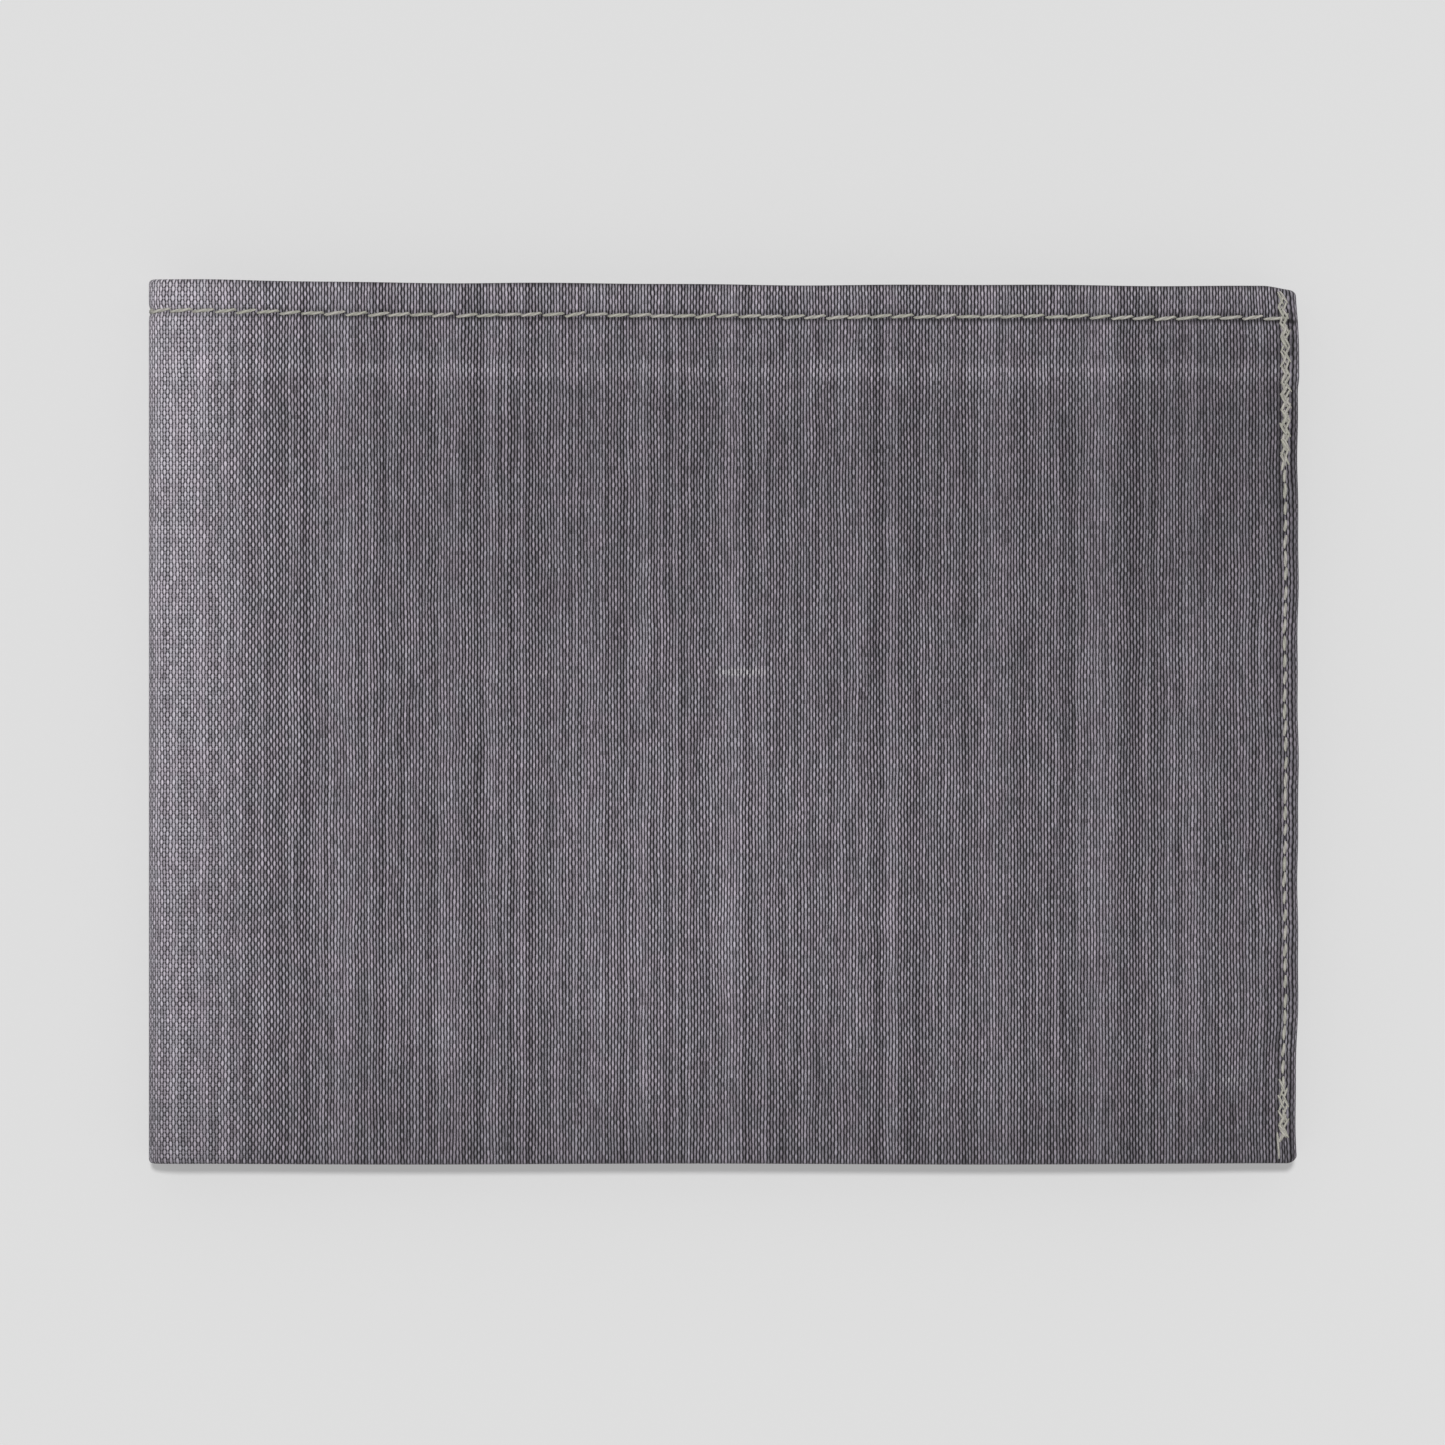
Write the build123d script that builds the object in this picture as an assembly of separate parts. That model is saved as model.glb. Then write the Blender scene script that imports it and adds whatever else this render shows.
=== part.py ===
"""A two-fold cloth wallet, lying closed on its back cover.

+X runs from the fold to the free edge, +Y towards the mouth of the note compartment, +Z out
of the front cover.  The origin is the middle of the back cover's outer face.  Each half is
built from its outer face inwards, so one function makes both: a depth is measured from the
outer face of that half.  The spine has its own pieces and turns about the two outer corners
of the fold.
"""
from build123d import *
from math import cos, radians, sin
import os

# Overall sizes of the closed wallet, millimetres
WIDTH = 112.0  # fold to free edge
HEIGHT = 86.0  # turned bottom to note mouth
CORNER_R = 1.2  # outer corners at the free edge

# Cloths
COVER_T = 0.40  # heavy plain-weave cover
LINING_T = 0.25  # lining and pocket cloth, folded double at the pockets
CARD_T = 0.76  # an ID-1 card, 85.6 x 53.98
CARD_W = 85.6
CARD_PLAY = 0.09  # slack in a card slot's depth
NOTE_GAP = 0.75  # room in the note compartment
MEETING_GAP = 0.30  # between the two halves' inner faces
FOLD_CLEARANCE = 0.30  # between the spine's pieces and the halves' pieces

# Turned edges and seams
HEM_H = 9.0  # depth of the cover's turned top hem
LINING_DROP = 2.0  # lining's top edge below the mouth
SEAM_ALLOWANCE = 4.0  # cloth turned in at the free edge
POCKET_SIDE_SEAM = 2.0  # width sewn shut at each side of a card slot
POCKET_BASE_SEAM = 1.5  # height sewn shut at the foot of a card slot
CARD_SIDE_PLAY = 2.0  # least room beside a card in its pocket
FOLD_ROOM = 8.0  # fold to the pockets' bound edge
LOWER_MOUTH = 50.0  # lower pocket's mouth above the bottom edge
TIER_STEP = 11.0  # upper pocket's mouth and foot above the lower one's
BINDING_W = 2.0  # bound edge along the pockets' spine side

# Stitches
PITCH = 2.13
STITCH_LENGTH = 1.65
THREAD_W = 0.42
GROOVE_DEPTH = 0.20
GROOVE_SIDE_PLAY = 0.20
HEM_ROW_DROP = 2.9  # hem row below the mouth
SIDE_ROW_INSET = 0.95  # side row in from the free edge
HEM_SLANT = 7.0  # degrees
TACK_SPAN_TOP = 13.5  # length of the locked stretch at the row's top end
TACK_SPAN_FOOT = 5.0
TACK_SLANT = 32.0  # degrees, alternating
TACK_PITCH = 1.25
TACK_LENGTH = 1.0
ROW_END = 1.5  # a row stops this far from the cloth's edge

# Worked out from the above
SLOT = CARD_T + CARD_PLAY
LINING_FACE = COVER_T + NOTE_GAP
LINING_BACK = LINING_FACE + LINING_T
UPPER_PANEL = LINING_BACK + SLOT
LOWER_PANEL = UPPER_PANEL + LINING_T + SLOT
HALF_T = LOWER_PANEL + LINING_T
THICKNESS = 2 * HALF_T + MEETING_GAP

FOLD_X = -WIDTH / 2
EDGE_X = WIDTH / 2
FOOT_Y = -HEIGHT / 2
MOUTH_Y = HEIGHT / 2
SPINE_INNER_X = FOLD_X + COVER_T
COVER_X = SPINE_INNER_X + FOLD_CLEARANCE
SPINE_HEM_X = SPINE_INNER_X + COVER_T
HEM_X = SPINE_HEM_X + FOLD_CLEARANCE
SPINE_LINING_X = FOLD_X + LINING_FACE
LINING_X = SPINE_LINING_X + LINING_T + FOLD_CLEARANCE
ALLOWANCE_X = EDGE_X - SEAM_ALLOWANCE
INNER_EDGE_X = EDGE_X - COVER_T
LINING_TOP_Y = MOUTH_Y - LINING_DROP
LINING_FOOT_Y = FOOT_Y + COVER_T
HEM_FOOT_Y = MOUTH_Y - HEM_H
SLOT_RIGHT_X = EDGE_X - SIDE_ROW_INSET - POCKET_SIDE_SEAM
BINDING_X = FOLD_X + FOLD_ROOM
POCKET_LEFT_X = BINDING_X + BINDING_W
SLOT_LEFT_X = POCKET_LEFT_X + POCKET_SIDE_SEAM
LOWER_MOUTH_Y = FOOT_Y + LOWER_MOUTH
UPPER_MOUTH_Y = LOWER_MOUTH_Y + TIER_STEP
UPPER_FOOT_Y = LINING_FOOT_Y + TIER_STEP
HEM_ROW_Y = MOUTH_Y - HEM_ROW_DROP
SIDE_ROW_X = EDGE_X - SIDE_ROW_INSET
GROOVE_W = THREAD_W + 2 * GROOVE_SIDE_PLAY
TACK_REACH = TACK_LENGTH * sin(radians(TACK_SLANT)) + THREAD_W * cos(radians(TACK_SLANT))
SIDE_GROOVE_W = TACK_REACH + 2 * GROOVE_SIDE_PLAY

if SLOT_RIGHT_X - SLOT_LEFT_X < CARD_W + CARD_SIDE_PLAY:
    raise ValueError("the pockets are too narrow for a card")
if UPPER_MOUTH_Y > LINING_TOP_Y:
    raise ValueError("the upper pocket's mouth is above the lining")
if SIDE_ROW_INSET < SIDE_GROOVE_W / 2:
    raise ValueError("the side row runs off the free edge")


def block(x0, x1, y0, y1, z0, z1):
    """A box between two corners."""
    return Pos((x0 + x1) / 2, (y0 + y1) / 2, (z0 + z1) / 2) * Box(x1 - x0, y1 - y0, z1 - z0)


def half_block(half, x0, x1, y0, y1, depth0, depth1):
    """A box in one half, its depths measured from that half's outer face."""
    if half == "back":
        return block(x0, x1, y0, y1, depth0, depth1)
    return block(x0, x1, y0, y1, THICKNESS - depth1, THICKNESS - depth0)


def even_places(start, end, pitch):
    """Places along a row, a whole number of pitches centred between its ends."""
    count = int((end - start) / pitch)
    first = (start + end - count * pitch) / 2
    return [first + i * pitch for i in range(count + 1)]


def stitch(half, x, y, angle, length, depth):
    """One stitch lying flat in its groove, its outer face flush with the cloth."""
    middle = depth + GROOVE_DEPTH / 2
    z = middle if half == "back" else THICKNESS - middle
    return Pos(x, y, z) * Rot(0, 0, angle) * Box(length, THREAD_W, GROOVE_DEPTH)


def save(name, solids):
    """Write one node: a single solid, or a group of separate ones."""
    shape = solids[0] if len(solids) == 1 else Compound(children=solids)
    export_step(shape, f"parts/{name}.step")


def side_row(half):
    """The free edge's row: locked, crossing stitches at both ends and plain ones between."""
    foot, top = FOOT_Y + ROW_END + TACK_LENGTH / 2, MOUTH_Y - ROW_END - TACK_LENGTH / 2
    solids = []
    for start, end in ((foot, foot + TACK_SPAN_FOOT), (top - TACK_SPAN_TOP, top)):
        for i, y in enumerate(even_places(start, end, TACK_PITCH)):
            angle = 90 + (TACK_SLANT if i % 2 else -TACK_SLANT)
            solids.append(stitch(half, SIDE_ROW_X, y, angle, TACK_LENGTH, 0))
    for y in even_places(foot + TACK_SPAN_FOOT + PITCH, top - TACK_SPAN_TOP - PITCH, PITCH):
        solids.append(stitch(half, SIDE_ROW_X, y, 90, STITCH_LENGTH, 0))
    return solids


def hem_row(half):
    """The running stitches that hold a cover's turned top hem."""
    places = even_places(COVER_X + ROW_END, SIDE_ROW_X - PITCH, PITCH)
    return [stitch(half, x, HEM_ROW_Y, HEM_SLANT, STITCH_LENGTH, 0) for x in places]


def pocket_row(half):
    """The row along the bound edge of the pockets, on the wallet's inner face."""
    x = (BINDING_X + POCKET_LEFT_X) / 2
    places = even_places(LINING_FOOT_Y + ROW_END, UPPER_MOUTH_Y - ROW_END, PITCH)
    return [stitch(half, x, y, 90, STITCH_LENGTH, HALF_T - GROOVE_DEPTH) for y in places]


def outer_cover(half):
    """The cover cloth with rounded corners and a groove for each stitch row."""
    cover = half_block(half, COVER_X, EDGE_X, FOOT_Y, MOUTH_Y, 0, COVER_T)
    upright = cover.edges().filter_by(Axis.Z).sort_by(Axis.X)[-2:]
    cover = fillet(upright, CORNER_R)
    end_room = STITCH_LENGTH / 2 + GROOVE_SIDE_PLAY
    reach = SIDE_ROW_X - PITCH + end_room
    hem_groove = half_block(half, COVER_X + ROW_END - end_room, reach, HEM_ROW_Y - GROOVE_W / 2,
                            HEM_ROW_Y + GROOVE_W / 2, 0, GROOVE_DEPTH)
    side_groove = half_block(half, SIDE_ROW_X - SIDE_GROOVE_W / 2,
                             SIDE_ROW_X + SIDE_GROOVE_W / 2, FOOT_Y + ROW_END - GROOVE_SIDE_PLAY,
                             MOUTH_Y - ROW_END + GROOVE_SIDE_PLAY, 0, GROOVE_DEPTH)
    return cover - hem_groove - side_groove


def pocket_edges(half, depth0, depth1, foot, mouth):
    """The turned edges that close a card slot at both sides and at its foot."""
    right_end = SLOT_RIGHT_X + POCKET_SIDE_SEAM
    left = half_block(half, POCKET_LEFT_X, SLOT_LEFT_X, LINING_FOOT_Y, mouth, depth0, depth1)
    right = half_block(half, SLOT_RIGHT_X, right_end, LINING_FOOT_Y, mouth, depth0, depth1)
    base = half_block(half, SLOT_LEFT_X, SLOT_RIGHT_X, foot, foot + POCKET_BASE_SEAM,
                      depth0, depth1)
    return [left, right, base]


def pocket_panel(half, depth, mouth):
    """One card pocket's face, from its bound edge to the side seam."""
    return half_block(half, POCKET_LEFT_X, SLOT_RIGHT_X + POCKET_SIDE_SEAM, LINING_FOOT_Y,
                      mouth, depth, depth + LINING_T)


def binding(half):
    """The rolled, bound edge that closes the pockets' spine side, grooved for its stitches."""
    bar = half_block(half, BINDING_X, POCKET_LEFT_X, LINING_FOOT_Y, UPPER_MOUTH_Y,
                     LINING_BACK, HALF_T)
    middle = (BINDING_X + POCKET_LEFT_X) / 2
    groove = half_block(half, middle - GROOVE_W / 2, middle + GROOVE_W / 2,
                        LINING_FOOT_Y + GROOVE_SIDE_PLAY, UPPER_MOUTH_Y - GROOVE_SIDE_PLAY,
                        HALF_T - GROOVE_DEPTH, HALF_T)
    return bar - groove


def make_half(half):
    """Every node of one half."""
    save(f"outer_cover_{half}", [outer_cover(half)])
    save(f"top_hem_{half}", [half_block(half, HEM_X, ALLOWANCE_X, HEM_FOOT_Y, MOUTH_Y,
                                        COVER_T, 2 * COVER_T)])
    save(f"bottom_fold_{half}", [half_block(half, LINING_X, ALLOWANCE_X, FOOT_Y, LINING_FOOT_Y,
                                            COVER_T, LINING_BACK)])
    save(f"note_lining_{half}", [half_block(half, LINING_X, INNER_EDGE_X,
                                            LINING_FOOT_Y, LINING_TOP_Y, LINING_FACE, LINING_BACK)])
    save(f"seam_allowance_{half}", [half_block(half, ALLOWANCE_X, INNER_EDGE_X,
                                               LINING_FOOT_Y, LINING_TOP_Y, COVER_T, LINING_FACE)])
    save(f"upper_pocket_edges_{half}",
         pocket_edges(half, LINING_BACK, UPPER_PANEL, UPPER_FOOT_Y, UPPER_MOUTH_Y))
    save(f"upper_pocket_panel_{half}", [pocket_panel(half, UPPER_PANEL, UPPER_MOUTH_Y)])
    save(f"lower_pocket_edges_{half}",
         pocket_edges(half, UPPER_PANEL + LINING_T, LOWER_PANEL, LINING_FOOT_Y, LOWER_MOUTH_Y))
    save(f"lower_pocket_panel_{half}", [pocket_panel(half, LOWER_PANEL, LOWER_MOUTH_Y)])
    save(f"pocket_binding_{half}", [binding(half)])
    save(f"hem_stitches_{half}", hem_row(half))
    save(f"side_stitches_{half}", side_row(half))
    save(f"pocket_stitches_{half}", pocket_row(half))


def make_spine():
    """The strip of every cloth that turns round the fold, upright while the wallet is shut."""
    low = COVER_T + FOLD_CLEARANCE
    hem_low = 2 * COVER_T + FOLD_CLEARANCE
    lining_low = LINING_BACK + FOLD_CLEARANCE
    cover = block(FOLD_X, SPINE_INNER_X, FOOT_Y, MOUTH_Y, low, THICKNESS - low)
    groove = block(FOLD_X, FOLD_X + GROOVE_DEPTH, HEM_ROW_Y - GROOVE_W / 2,
                   HEM_ROW_Y + GROOVE_W / 2, low, THICKNESS - low)
    save("outer_cover_spine", [cover - groove])
    save("top_hem_spine", [block(SPINE_INNER_X, SPINE_HEM_X, HEM_FOOT_Y, MOUTH_Y, hem_low,
                                 THICKNESS - hem_low)])
    save("bottom_fold_spine", [block(SPINE_INNER_X, SPINE_LINING_X + LINING_T, FOOT_Y,
                                     LINING_FOOT_Y, lining_low, THICKNESS - lining_low)])
    save("note_lining_spine", [block(SPINE_LINING_X, SPINE_LINING_X + LINING_T, LINING_FOOT_Y,
                                     LINING_TOP_Y, lining_low, THICKNESS - lining_low)])
    places = even_places(low + STITCH_LENGTH / 2, THICKNESS - low - STITCH_LENGTH / 2, PITCH)
    save("hem_stitches_spine",
         [Pos(FOLD_X + GROOVE_DEPTH / 2, HEM_ROW_Y, z) * Box(GROOVE_DEPTH, THREAD_W,
                                                             STITCH_LENGTH) for z in places])


os.makedirs("parts", exist_ok=True)
make_half("back")
make_half("front")
make_spine()
print(f"closed size {WIDTH} x {HEIGHT} x {THICKNESS:.2f}, one half {HALF_T:.2f}")
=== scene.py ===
"""A closed cloth bifold wallet: worn plain-weave covers, stitched edges and card pockets.

Shapes are worked out in millimetres in the frame's axes and written to meshes in metres.  A
half is described by its height h above its own outer plane, so the back half lies at z = h
and the front half at z = thickness - h.
"""
import math

import bpy
import numpy as np
from bpy.props import FloatProperty, FloatVectorProperty, IntProperty, PointerProperty
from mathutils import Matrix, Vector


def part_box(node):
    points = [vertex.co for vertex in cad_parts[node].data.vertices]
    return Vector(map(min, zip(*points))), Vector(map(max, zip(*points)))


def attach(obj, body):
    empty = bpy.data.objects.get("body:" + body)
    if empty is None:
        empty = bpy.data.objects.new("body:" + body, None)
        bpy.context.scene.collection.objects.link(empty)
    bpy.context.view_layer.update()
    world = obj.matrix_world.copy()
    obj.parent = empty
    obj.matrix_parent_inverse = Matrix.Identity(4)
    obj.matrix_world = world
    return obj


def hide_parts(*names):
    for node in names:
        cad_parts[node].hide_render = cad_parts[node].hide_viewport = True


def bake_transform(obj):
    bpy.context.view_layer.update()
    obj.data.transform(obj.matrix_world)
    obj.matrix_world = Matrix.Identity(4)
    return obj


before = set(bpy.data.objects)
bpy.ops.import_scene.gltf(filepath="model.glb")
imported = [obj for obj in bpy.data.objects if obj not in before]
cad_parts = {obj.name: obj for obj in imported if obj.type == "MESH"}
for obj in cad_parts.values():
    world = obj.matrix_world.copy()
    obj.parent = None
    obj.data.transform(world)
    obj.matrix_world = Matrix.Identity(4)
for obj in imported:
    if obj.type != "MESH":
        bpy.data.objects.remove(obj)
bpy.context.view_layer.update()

bl_info = {
    "name": "Cloth bifold wallet",
    "version": (1, 0, 0),
    "blender": (4, 5, 0),
    "location": "View3D > Sidebar > Wallet",
    "description": "Builds a worn cloth bifold wallet around its packed frame",
    "category": "Object",
}

MM = 0.001
HALVES = ("back", "front")


def box_mm(node):
    """A node's low and high corners at rest, in millimetres."""
    low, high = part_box(node)
    return np.array(low) / MM, np.array(high) / MM


def middle_mm(node):
    """A node's middle at rest, in millimetres."""
    low, high = box_mm(node)
    return (low + high) / 2


# The frame's planes, in millimetres
COVER_LOW, COVER_HIGH = box_mm("outer_cover_back")
FOLD_X = box_mm("outer_cover_spine")[0][0]
EDGE_X = COVER_HIGH[0]
FOOT_Y = COVER_LOW[1]
MOUTH_Y = COVER_HIGH[1]
THICKNESS = box_mm("outer_cover_front")[1][2]
HEM_ROW_DROP = MOUTH_Y - middle_mm("hem_stitches_back")[1]
HEM_DEPTH = MOUTH_Y - box_mm("top_hem_back")[0][1]
LINING_H = middle_mm("note_lining_back")[2]
LINING_TOP = box_mm("note_lining_back")[1][1]
UPPER_H = middle_mm("upper_pocket_panel_back")[2]
LOWER_H = middle_mm("lower_pocket_panel_back")[2]
(POCKET_LEFT, _, _), (POCKET_RIGHT, UPPER_MOUTH, _) = box_mm("upper_pocket_panel_back")
(_, POCKET_FOOT, _), (_, LOWER_MOUTH, _) = box_mm("lower_pocket_panel_back")
BINDING_X = box_mm("pocket_binding_back")[0][0]
POCKET_ROW_X = middle_mm("pocket_stitches_back")[0]
SIDE_ROW_X = middle_mm("side_stitches_back")[0]

# Smooth shapes of the cloth, millimetres
FOLD_REACH = 10.5  # length over which a cover falls towards the fold
FOLD_POWER = 4.2  # squareness of the fold's section
EDGE_SLOPE = 11.0  # length over which a half thins towards the free edge
EDGE_DROP = 0.70  # how far a half has thinned at the free edge
ROLL_RADIUS = 0.90  # of the cover's turn round the free edge
LINING_ROW_DROP = 4.4  # from the lining's top edge to its hem's stitches
SIDE_PITCH = 1.65  # plain stitches of the free edge's row
LOCK_PITCH = 1.43  # length of one crossing where the side's thread is locked
BAND_WIDTH = 2.9  # cover cloth turned to the inside at the free edge
BAND_LIFT = 0.30
MOUTH_INSET = 0.13  # from the frame's mouth plane to the cloth's edge
MOUTH_FALL = 0.70  # how much lower the mouth runs away from the fold
MOUTH_EASE = 40.0  # length over which it does so
MOUTH_TURN = 0.235  # radius of the cover's turn at the mouth
FOOT_TURN = 0.42  # radius of its turn at the foot
FOOT_ALLOWANCE = 5.0  # cloth turned up inside at the foot
POCKET_ROW_DROP = 6.4  # from a pocket's mouth to its hem's stitches
POCKET_TURN = 0.14  # radius of a pocket cloth's turns
BINDING_LEG = 3.9  # width of each leg of the binding
THREAD_SINK = 0.02  # how far a stitch lies in the cover
# Samples of a cover's section: the fold, the flat face and the turn round the free edge
FOLD_SAMPLES, FACE_SAMPLES, ROLL_SAMPLES = 500, 900, 160
# The stage, in metres
FLOOR_HALF_WIDTH = 3.0
FLOOR_DROP = 0.00002
VIEW_WIDTH = 0.1407
SELF_LIT = 0.42  # share of the floor's tone that is its own


def length(name, description, default, precision=5):
    """A length property, in metres."""
    return FloatProperty(name=name, description=description, default=default, unit="LENGTH",
                         subtype="DISTANCE", precision=precision)


class WalletSizes(bpy.types.PropertyGroup):
    """Sizes that a user would change."""
    cover_cloth: length("Cover cloth", "Thickness of the cover cloth", 0.0004)
    lining_cloth: length("Lining cloth", "Thickness of the lining and pocket cloth", 0.00025)
    stitch_pitch: length("Stitch pitch", "Distance from one stitch to the next", 0.00213)
    thread_width: length("Thread", "Diameter of the sewing thread", 0.00042)
    warp_pitch: length("Warp pitch", "Distance between the upright threads", 0.000297, 6)
    weft_pitch: length("Weft pitch", "Distance between the level threads", 0.000414, 6)
    seed: IntProperty(
        name="Seed", description="Seed of the small irregularities", default=7)


def colour(name, description, default):
    """A colour property."""
    return FloatVectorProperty(name=name, description=description, default=default, size=3,
                               min=0.0, max=1.0, subtype="COLOR")


class WalletColours(bpy.types.PropertyGroup):
    """Colours that a user would change."""
    cover: colour("Cover", "Cover cloth where it isn't worn", (0.180, 0.166, 0.191))
    worn: colour("Worn", "Tops of the cover's threads where they are rubbed",
                 (0.60, 0.58, 0.60))
    lining: colour("Lining", "Note compartment's lining", (0.120, 0.112, 0.125))
    pocket: colour("Pockets", "Card pocket cloth", (0.165, 0.154, 0.172))
    binding: colour("Binding", "Tape along the pockets' edge", (0.075, 0.070, 0.078))
    thread: colour("Thread", "Sewing thread", (0.55, 0.53, 0.48))
    floor: colour("Floor", "Floor under the wallet", (0.737, 0.737, 0.737))


def sizes():
    """The wallet's sizes in millimetres, by name."""
    group = bpy.context.scene.wallet_sizes
    names = ("cover_cloth", "lining_cloth", "stitch_pitch", "thread_width", "warp_pitch",
             "weft_pitch")
    return {name: getattr(group, name) / MM for name in names}


def smooth(t):
    """Smoothstep: 3 t^2 - 2 t^3 with t held to 0..1."""
    t = np.clip(t, 0.0, 1.0)
    return t * t * (3.0 - 2.0 * t)


def bell(t):
    """A bell curve, exp(-t^2)."""
    return np.exp(-t * t)


def seeded(offset):
    """A random source of its own for each row of stitches."""
    return np.random.default_rng(bpy.context.scene.wallet_sizes.seed + offset)


# ---------------------------------------------------------------- section of a half


def cover_line():
    """Centre line of the cover cloth in the x-h plane, by length s from the spine's middle.

    The fold is a quarter of a superellipse.  Then come the flat face, a smoothstep fall
    towards the free edge, a half circle round it and a short band on the inside.
    """
    half_cloth = bpy.context.scene.wallet_sizes.cover_cloth / MM / 2
    start = FOLD_X + FOLD_REACH
    across, up = FOLD_REACH - half_cloth, THICKNESS / 2 - half_cloth
    turn = np.linspace(0.0, math.pi / 2, FOLD_SAMPLES)
    x = [start - across * np.cos(turn) ** (2 / FOLD_POWER)]
    h = [THICKNESS / 2 - up * np.sin(turn) ** (2 / FOLD_POWER)]
    roll_x = EDGE_X - half_cloth - ROLL_RADIUS
    face = np.linspace(start, roll_x, FACE_SAMPLES)[1:]
    x.append(face)
    h.append(half_cloth + EDGE_DROP * smooth((face - roll_x) / EDGE_SLOPE + 1.0))
    turn = np.linspace(-math.pi / 2, math.pi / 2, ROLL_SAMPLES)[1:]
    x.append(roll_x + ROLL_RADIUS * np.cos(turn))
    h.append(half_cloth + EDGE_DROP + ROLL_RADIUS * (1.0 + np.sin(turn)))
    band = np.linspace(roll_x, roll_x - BAND_WIDTH, 80)[1:]
    x.append(band)
    h.append(h[-1][-1] + BAND_LIFT * smooth((roll_x - band) / BAND_WIDTH))
    x, h = np.concatenate(x), np.concatenate(h)
    step = np.hypot(np.diff(x), np.diff(h))
    s = np.concatenate([[0.0], np.cumsum(step)])
    dx, dh = np.gradient(x, s), np.gradient(h, s)
    size = np.hypot(dx, dh)
    face_end = FOLD_SAMPLES + FACE_SAMPLES - 2
    return {"s": s, "x": x, "h": h, "nx": -dh / size, "nh": dx / size, "roll": roll_x,
            "face_end": s[face_end], "roll_end": s[face_end + ROLL_SAMPLES - 1]}


def along(line, s, depth=0.0):
    """Points at length s and a depth towards the inside: (x, h)."""
    x, h, nx, nh = (np.interp(s, line["s"], line[k]) for k in ("x", "h", "nx", "nh"))
    return x + nx * depth, h + nh * depth


def normals(line, s):
    """The section's normal at length s, towards the inside."""
    return (np.interp(s, line["s"], line[k]) for k in ("nx", "nh"))


def near_edge(line, s, reach):
    """Smoothstep over the last reach of the face: 0 before it, 1 from the face's end."""
    return smooth((s - line["face_end"] + reach) / reach)


def s_at(line, x):
    """Length s of the outer face at a given x."""
    face = line["s"] <= line["face_end"]
    return np.interp(x, line["x"][face], line["s"][face])


def mouth_edge(half, x):
    """The mouth's height over the width: a slow fall from the fold and a round corner."""
    from_fold = x - FOLD_X
    fall = MOUTH_FALL * (1.0 - np.exp(-from_fold / MOUTH_EASE))
    ripple = 0.05 * np.sin(from_fold / 6.1 + 0.7) + 0.03 * np.sin(from_fold / 2.7)
    fall = fall + 0.40 * smooth((x - EDGE_X + 3.2) / 3.2)
    corner = 0.5
    past = np.clip((x - (EDGE_X - corner)) / corner, 0.0, 1.0)
    inset = 0.0 if half == "front" else 0.12 * smooth(from_fold / 20.0)
    return (MOUTH_Y - MOUTH_INSET - fall + ripple * smooth(from_fold / 8.0) - inset
            - corner * (1.0 - np.sqrt(1.0 - past ** 2 * 0.98)))


def foot_edge(half, x):
    """The turned bottom edge: straight, with a slight ripple and a round corner."""
    from_fold = x - FOLD_X
    ripple = 0.05 * np.sin(from_fold / 9.0 + 2.0) * smooth(from_fold / 8.0)
    corner = 0.9
    past = np.clip((x - (EDGE_X - corner)) / corner, 0.0, 1.0)
    inset = 0.0 if half == "front" else 0.10 * smooth(from_fold / 20.0)
    return FOOT_Y + 0.03 + ripple + inset + corner * (1.0 - np.sqrt(1.0 - past ** 2 * 0.98))


def free_edge(y):
    """How far the free edge stands in from a straight line, over the height."""
    t = (y - FOOT_Y) / (MOUTH_Y - FOOT_Y)
    return (-0.13 + 0.42 * bell((t - 1.02) / 0.09) + 0.20 * bell((t - 0.06) / 0.10)
            + 0.05 * np.sin(y / 3.3) + 0.03 * np.sin(y / 1.31 + 1.0))


def waviness(half, s, y):
    """Slow rise and fall of a cover that lies slack, vanishing at the spine's middle."""
    shift = 0.0 if half == "front" else 2.1
    wave = (0.09 * np.sin(s / 17.0 + y / 23.0 + shift) + 0.07 * np.sin(s / 9.0 - y / 13.0)
            + 0.035 * np.sin(s / 4.3 + y / 7.0 + shift) + 0.03 * np.sin(y / 4.9 - s / 21.0))
    return (wave - 0.10) * smooth((s - 4.0) / 8.0)


def relief(half, line, s, x, y, mouth):
    """How far the cover's face stands out: hem ridge, stitch valleys, dimples and waves."""
    pitch = sizes()["stitch_pitch"]
    below = mouth - y
    off_row = below - HEM_ROW_DROP
    outside = smooth((s - 1.0) / 4.0)
    ridge = 0.17 * (1.0 - smooth((below - HEM_DEPTH + 0.9) / 1.5))
    hole = bell((np.mod(s, pitch) - pitch * 0.5) / 0.9) * -1.0 + 1.0
    valley = -(0.20 + 0.16 * hole) * bell(off_row / 0.42)
    lip = 0.07 * bell((off_row - 1.1) / 0.6) + 0.10 * bell((off_row + 1.3) / 0.9)
    side = x - SIDE_ROW_X + 0.25
    side_hole = 1.0 - bell((np.mod(y, pitch) - pitch * 0.5) / 0.9)
    on_face = (s <= line["face_end"] + 0.8).astype(float)
    seam = -(0.14 + 0.14 * side_hole) * bell(side / 0.40) + 0.05 * bell((side + 1.3) / 0.8)
    return (ridge * outside + (valley + lip * outside) * (1.0 - near_edge(line, s, 1.5))
            + waviness(half, s, y) * (1.0 - near_edge(line, s, 6.0)) + seam * on_face)


# ---------------------------------------------------------------- meshes


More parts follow.
